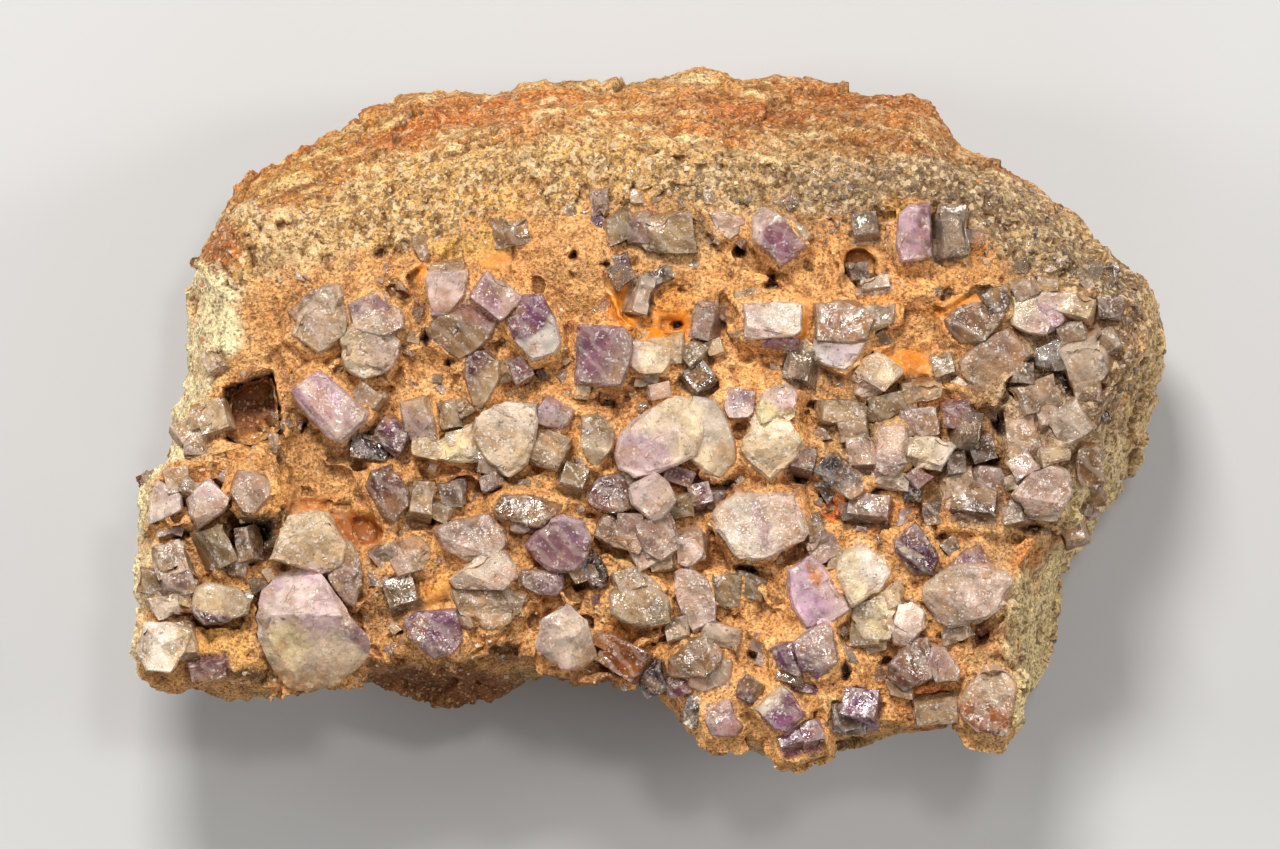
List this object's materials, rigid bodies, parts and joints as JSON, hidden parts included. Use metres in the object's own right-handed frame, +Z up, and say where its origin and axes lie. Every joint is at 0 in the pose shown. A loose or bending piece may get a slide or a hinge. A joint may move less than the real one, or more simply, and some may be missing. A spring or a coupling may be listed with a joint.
{
  "type": "fluorite on matrix",
  "caption": "Slab of iron-stained rock with a crust of lilac, cream and clear fluorite cubes on its upper face.",
  "frame": {"origin": "centre of the bounding box in plan, on the flat patch that the slab rests on", "axes": "+X along the slab's length, +Y towards its rusty broken edge, +Z up from the resting patch to the crystal face"},
  "size_m": [0.1294, 0.0874, 0.0418],
  "materials": {
    "iron_stained_rock": "rough, broken",
    "lilac_fluorite": "vitreous, partly etched",
    "pale_fluorite": "vitreous, partly etched",
    "purple_fluorite": "vitreous, partly etched",
    "cream_fluorite": "vitreous, partly etched",
    "grey_fluorite": "vitreous, partly etched",
    "clear_fluorite": "vitreous, partly etched",
    "smoky_fluorite": "vitreous, partly etched"
  },
  "bodies": {
    "root": {"fluorite_matrix": "iron_stained_rock", "fluorite_great_lilac": "lilac_fluorite", "fluorite_pale_behind_great": "pale_fluorite", "fluorite_lilac_brick": "lilac_fluorite", "fluorite_lilac_cluster_left": "pale_fluorite", "fluorite_lilac_triple": "lilac_fluorite", "fluorite_purple_capped": "purple_fluorite", "fluorite_banded_brick": "purple_fluorite", "fluorite_pale_top": "pale_fluorite", "fluorite_purple_brick_top": "purple_fluorite", "fluorite_lilac_upright_top": "lilac_fluorite", "fluorite_silver_brick": "pale_fluorite", "fluorite_pale_pair": "pale_fluorite", "fluorite_cream_triangle": "cream_fluorite", "fluorite_grey_lilac_pair": "grey_fluorite", "fluorite_grey_lozenge": "grey_fluorite", "fluorite_grey_rhomb": "grey_fluorite", "fluorite_clear_pair_right": "clear_fluorite", "fluorite_grey_slab": "grey_fluorite", "fluorite_purple_grey_knot": "purple_fluorite", "fluorite_blue_cube": "purple_fluorite", "fluorite_cream_mass": "cream_fluorite", "fluorite_olive_wedge": "grey_fluorite", "fluorite_great_rounded": "lilac_fluorite", "fluorite_lilac_cube_small": "lilac_fluorite", "fluorite_cream_diamond": "cream_fluorite", "fluorite_black_glitter": "smoky_fluorite", "fluorite_grey_row": "grey_fluorite", "fluorite_grey_quartz_right": "grey_fluorite", "fluorite_pink_grey_right": "pale_fluorite", "fluorite_smoky_grey": "smoky_fluorite", "fluorite_pink_cube_left": "lilac_fluorite", "fluorite_sparkly_hex": "grey_fluorite", "fluorite_white_lumps_left": "cream_fluorite", "fluorite_yellow_block": "cream_fluorite", "fluorite_cream_block_left": "pale_fluorite", "fluorite_mauve_cube": "purple_fluorite", "fluorite_grey_bar": "grey_fluorite", "fluorite_pink_white_cube": "pale_fluorite", "fluorite_dusty_purple": "purple_fluorite", "fluorite_mauve_rounded": "purple_fluorite", "fluorite_cream_shard": "cream_fluorite", "fluorite_grey_pink_bar": "grey_fluorite", "fluorite_mauve_row": "pale_fluorite", "fluorite_olive_block": "grey_fluorite", "fluorite_pink_grey_rounded": "pale_fluorite", "fluorite_big_white": "pale_fluorite", "fluorite_lilac_leaf": "lilac_fluorite", "fluorite_cream_white_mass": "cream_fluorite", "fluorite_deep_purple": "purple_fluorite", "fluorite_big_grey_pink": "grey_fluorite", "fluorite_purple_translucent": "purple_fluorite", "fluorite_purple_white_face": "purple_fluorite", "fluorite_lilac_cube_bottom": "lilac_fluorite", "fluorite_pair_bottom": "purple_fluorite", "fluorite_purple_rose": "purple_fluorite", "fluorite_white_point": "pale_fluorite", "fluorite_grey_beige_mass": "grey_fluorite", "fluorite_mauve_brown": "purple_fluorite", "fluorite_sparkly_knob": "grey_fluorite"}
  },
  "joints": []
}
